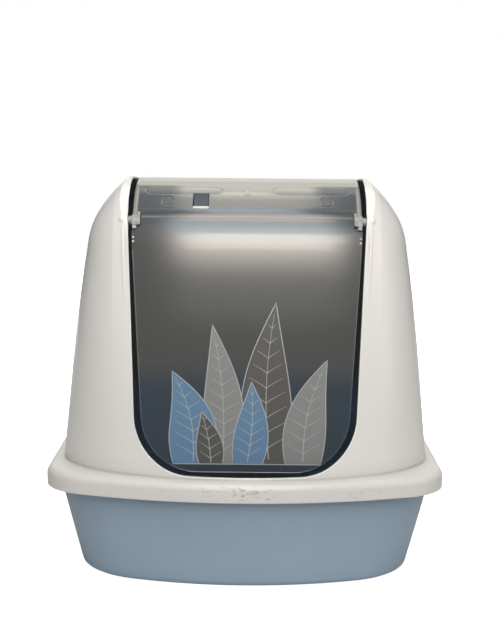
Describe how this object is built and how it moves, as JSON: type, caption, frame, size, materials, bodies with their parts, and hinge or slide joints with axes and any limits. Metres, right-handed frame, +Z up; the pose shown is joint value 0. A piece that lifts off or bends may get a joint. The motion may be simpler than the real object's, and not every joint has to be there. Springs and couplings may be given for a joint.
{
  "type": "hooded cat litter box",
  "caption": "Hooded cat litter box: tapered tray, white lift-off hood with ledge and skirt, and a balanced see-through flap that swings both ways in a wide entrance.",
  "frame": {"origin": "on the floor under the middle of the tray", "axes": "+Z up, the flap looks toward -Y, +X to the right seen from the front"},
  "size_m": [0.406, 0.55, 0.4051],
  "materials": {
    "tray_plastic": "satin blue-grey moulded plastic",
    "hood_plastic": "semi-gloss white moulded plastic",
    "milky_plastic": "milky translucent moulded plastic",
    "smoked_plastic": "smoked translucent sheet with a soft sheen",
    "filter_pad": "black charcoal foam"
  },
  "bodies": {
    "tray": {"base_tray": "tray_plastic"},
    "hood": {"hood_shell": "hood_plastic", "filter_holder": "hood_plastic", "carbon_filter": "filter_pad"},
    "flap": {"flap_visor": "milky_plastic", "door_panel": "smoked_plastic", "pivot_clip_left": "milky_plastic", "pivot_clip_right": "milky_plastic", "door_studs": "milky_plastic"}
  },
  "joints": [
    {"name": "hood_lift", "type": "slide", "parent": "tray", "child": "hood", "axis": [0, 0, 1], "range_m": [0, 0.15]},
    {"name": "flap_swing", "type": "hinge", "parent": "hood", "child": "flap", "pos_m": [0, -0.179, 0.364], "axis": [1, 0, 0], "range_deg": [-60, 70]}
  ]
}
